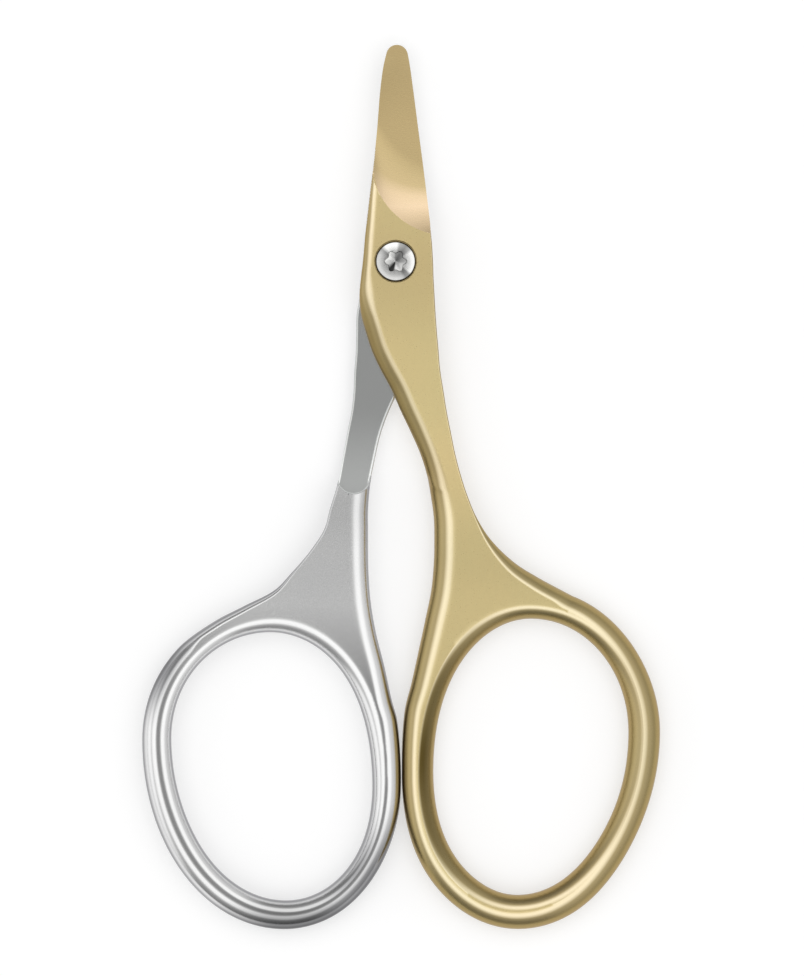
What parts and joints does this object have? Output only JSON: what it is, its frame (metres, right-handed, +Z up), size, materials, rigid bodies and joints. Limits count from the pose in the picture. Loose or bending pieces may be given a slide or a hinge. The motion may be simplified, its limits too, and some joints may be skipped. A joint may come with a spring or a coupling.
{
  "type": "nail scissors",
  "caption": "Small nail scissors with round-tipped, hollow-ground blades, a screwed half-lap joint, slim curved shanks and oval finger rings that meet when closed. It opens about the screw.",
  "frame": {"origin": "centre of the bounding box at the surface that the closed scissors lie on", "axes": "+Y along the closed scissors towards the blade tips, +Z up through the thickness along the pivot screw, +X towards the front half's finger ring"},
  "size_m": [0.0528, 0.09, 0.0033],
  "materials": {
    "gold_steel": "satin gold coating over steel",
    "satin_steel": "satin polished",
    "screw_steel": "bright turned",
    "washer": "dark matte"
  },
  "bodies": {
    "rear": {"rear_half": "satin_steel", "pivot_screw": "screw_steel"},
    "front": {"front_half": "gold_steel", "pivot_washer": "washer"}
  },
  "joints": [
    {"name": "blade_pivot", "type": "hinge", "parent": "rear", "child": "front", "pos_m": [-0.00062, 0.02293, 0.0016], "axis": [0, 0, 1], "range_deg": [0, 90]}
  ]
}
